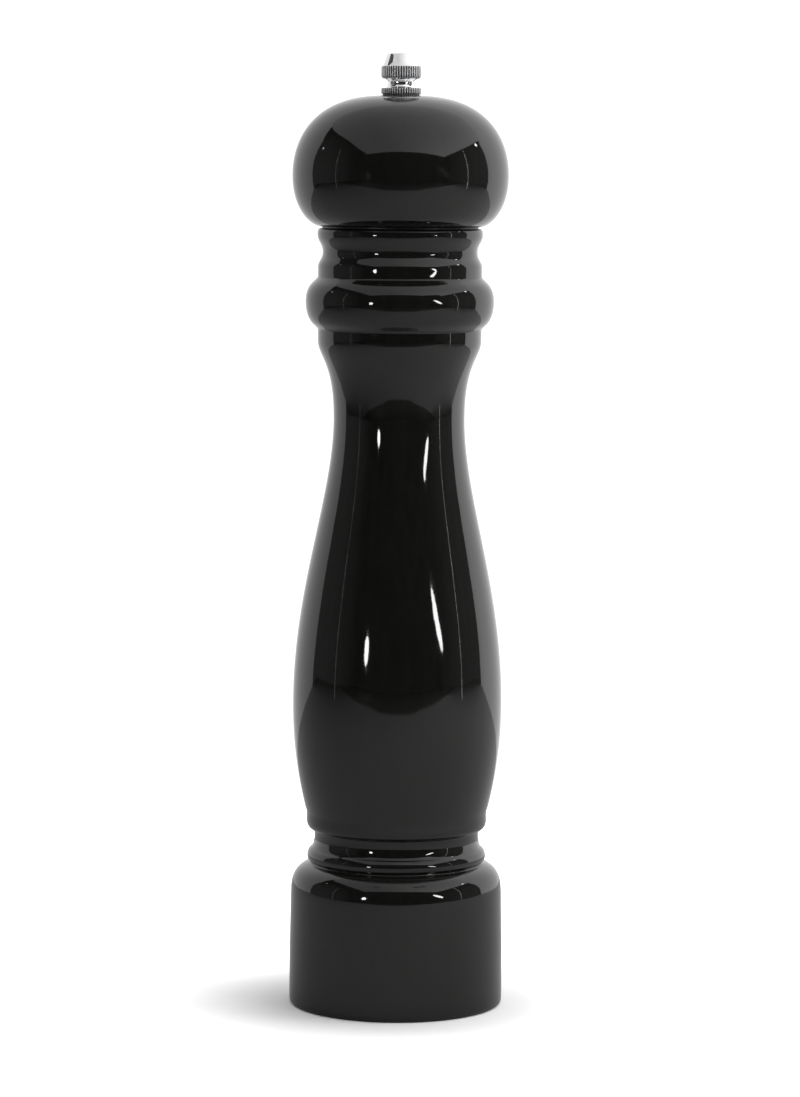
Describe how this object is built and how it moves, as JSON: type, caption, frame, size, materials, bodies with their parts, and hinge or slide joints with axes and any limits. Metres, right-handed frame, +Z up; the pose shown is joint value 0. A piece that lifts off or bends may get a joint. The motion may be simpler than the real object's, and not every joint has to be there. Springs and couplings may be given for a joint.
{
  "type": "pepper mill",
  "caption": "Tall turned wooden pepper mill in gloss black lacquer with a ball head, a chrome knurled adjusting knob and a conical burr grinder inside.",
  "frame": {"origin": "centre of the face that the foot stands on", "axes": "+Z up along the turning axis, towards the knob; +Y away from the front"},
  "size_m": [0.0716, 0.0716, 0.3175],
  "materials": {
    "black_lacquer": "gloss lacquer",
    "chrome": "polished",
    "burr_steel": "hardened, dull",
    "plated_steel": "zinc plated",
    "spring_steel": "bright wire",
    "aluminium": "drawn bar",
    "white_nylon": "moulded",
    "black_nylon": "satin"
  },
  "bodies": {
    "base": {"mill_body": "black_lacquer", "stator_burr": "burr_steel", "burr_retainer": "plated_steel", "retainer_screw_1": "plated_steel", "retainer_screw_2": "plated_steel", "retainer_screw_3": "plated_steel", "bridge": "plated_steel", "bridge_bush": "white_nylon"},
    "lift": {"glide_ring": "black_nylon"},
    "head": {"head": "black_lacquer", "drive_plate": "plated_steel", "drive_screw_1": "plated_steel", "drive_screw_2": "plated_steel", "drive_screw_3": "plated_steel"},
    "knob": {"knob": "chrome"},
    "adjuster": {"thrust_washer": "plated_steel", "spring": "spring_steel"},
    "shaft": {"shaft": "aluminium", "retaining_clip": "plated_steel", "rotor_burr": "burr_steel", "rotor_washer": "plated_steel", "rotor_screw": "plated_steel"}
  },
  "joints": [
    {"name": "head_lift", "type": "slide", "parent": "base", "child": "lift", "axis": [0, 0, 1], "range_m": [0, 0.072]},
    {"name": "head_turn", "type": "hinge", "parent": "lift", "child": "head", "pos_m": [0, 0, 0.26], "axis": [0, 0, 1], "continuous": true},
    {"name": "knob_turn", "type": "hinge", "parent": "head", "child": "knob", "pos_m": [0, 0, 0.3037], "axis": [0, 0, 1], "range_deg": [-180, 720]},
    {"name": "grind_adjust", "type": "slide", "parent": "base", "child": "adjuster", "axis": [0, 0, 1], "range_m": [-0.0016, 0.0004], "deforming": ["spring"]},
    {"name": "shaft_turn", "type": "hinge", "parent": "adjuster", "child": "shaft", "pos_m": [0, 0, 0.0322], "axis": [0, 0, 1], "continuous": true}
  ],
  "couplings": [
    {"joint": "knob_turn", "follows": "grind_adjust", "rad_per_m": -7854},
    {"joint": "shaft_turn", "follows": "head_turn", "ratio": 1}
  ]
}
